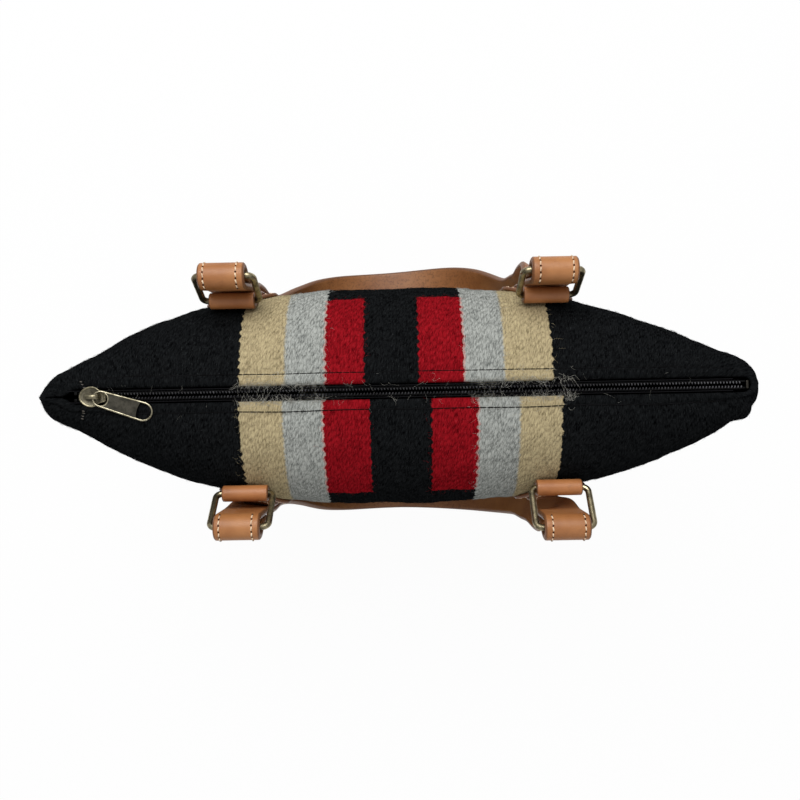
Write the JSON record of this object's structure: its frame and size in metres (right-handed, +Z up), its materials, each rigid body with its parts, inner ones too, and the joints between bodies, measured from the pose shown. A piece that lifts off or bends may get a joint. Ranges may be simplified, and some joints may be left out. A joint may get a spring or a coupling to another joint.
{
  "type": "tote bag",
  "caption": "Woven wool tote with boxed base, zipped mouth, stitched leather tabs with rectangular rings, and two flopping leather strap handles.",
  "frame": {"origin": "on the ground under the middle of the zip, at the middle of the base", "axes": "+X along the zip, away from the closed slider; +Y towards the back; +Z up out of the mouth"},
  "size_m": [0.438, 0.1987, 0.3149],
  "materials": {
    "wool_cloth": "woven wool in black with cream, grey and red bands",
    "zip_tape": "woven tape",
    "zip_coil": "nylon coil",
    "antique_brass": "antique, darkened in the hollows",
    "tan_leather": "vegetable tanned, pale stitches"
  },
  "bodies": {
    "bag": {"woven_body": "wool_cloth", "zipper_tape_back": "zip_tape", "zipper_tape_front": "zip_tape", "zipper_coil_back": "zip_coil", "zipper_coil_front": "zip_coil", "zipper_stop_left_back": "antique_brass", "zipper_stop_left_front": "antique_brass", "zipper_stop_right": "antique_brass", "ring_tab_back_left": "tan_leather", "ring_tab_back_right": "tan_leather", "ring_tab_front_left": "tan_leather", "ring_tab_front_right": "tan_leather"},
    "slider": {"slider_body": "antique_brass"},
    "pull": {"pull_tab": "antique_brass"},
    "back_left_ring": {"ring_back_left": "antique_brass"},
    "back_right_ring": {"ring_back_right": "antique_brass"},
    "back_strap": {"handle_back": "tan_leather"},
    "front_left_ring": {"ring_front_left": "antique_brass"},
    "front_right_ring": {"ring_front_right": "antique_brass"},
    "front_strap": {"handle_front": "tan_leather"}
  },
  "joints": [
    {"name": "zip_slide", "type": "slide", "parent": "bag", "child": "slider", "axis": [1, 0, 0], "range_m": [0, 0.38]},
    {"name": "pull_swing", "type": "hinge", "parent": "slider", "child": "pull", "pos_m": [-0.1818, 0, 0.30337], "axis": [-0.309, -0.9511, 0], "range_deg": [0, 172]},
    {"name": "back_left_ring_swing", "type": "hinge", "parent": "bag", "child": "back_left_ring", "pos_m": [-0.1023, 0.05805, 0.283], "axis": [1, 0, 0], "range_deg": [0, 30]},
    {"name": "back_right_ring_swing", "type": "hinge", "parent": "bag", "child": "back_right_ring", "pos_m": [0.0929, 0.05805, 0.283], "axis": [1, 0, 0], "range_deg": [0, 30]},
    {"name": "back_strap_swing", "type": "hinge", "parent": "back_left_ring", "child": "back_strap", "pos_m": [0, 0.06988, 0.30838], "axis": [1, 0, 0], "range_deg": [0, 150]},
    {"name": "front_left_ring_swing", "type": "hinge", "parent": "bag", "child": "front_left_ring", "pos_m": [-0.0965, -0.06148, 0.283], "axis": [-1, 0, 0], "range_deg": [0, 40]},
    {"name": "front_right_ring_swing", "type": "hinge", "parent": "bag", "child": "front_right_ring", "pos_m": [0.0987, -0.06148, 0.283], "axis": [-1, 0, 0], "range_deg": [0, 40]},
    {"name": "front_strap_swing", "type": "hinge", "parent": "front_left_ring", "child": "front_strap", "pos_m": [0, -0.0813, 0.30252], "axis": [-0.9995, 0.0228, 0.0232], "range_deg": [0, 140]}
  ],
  "couplings": [
    {"joint": "back_right_ring_swing", "follows": "back_left_ring_swing", "ratio": 1},
    {"joint": "front_right_ring_swing", "follows": "front_left_ring_swing", "ratio": 1}
  ]
}
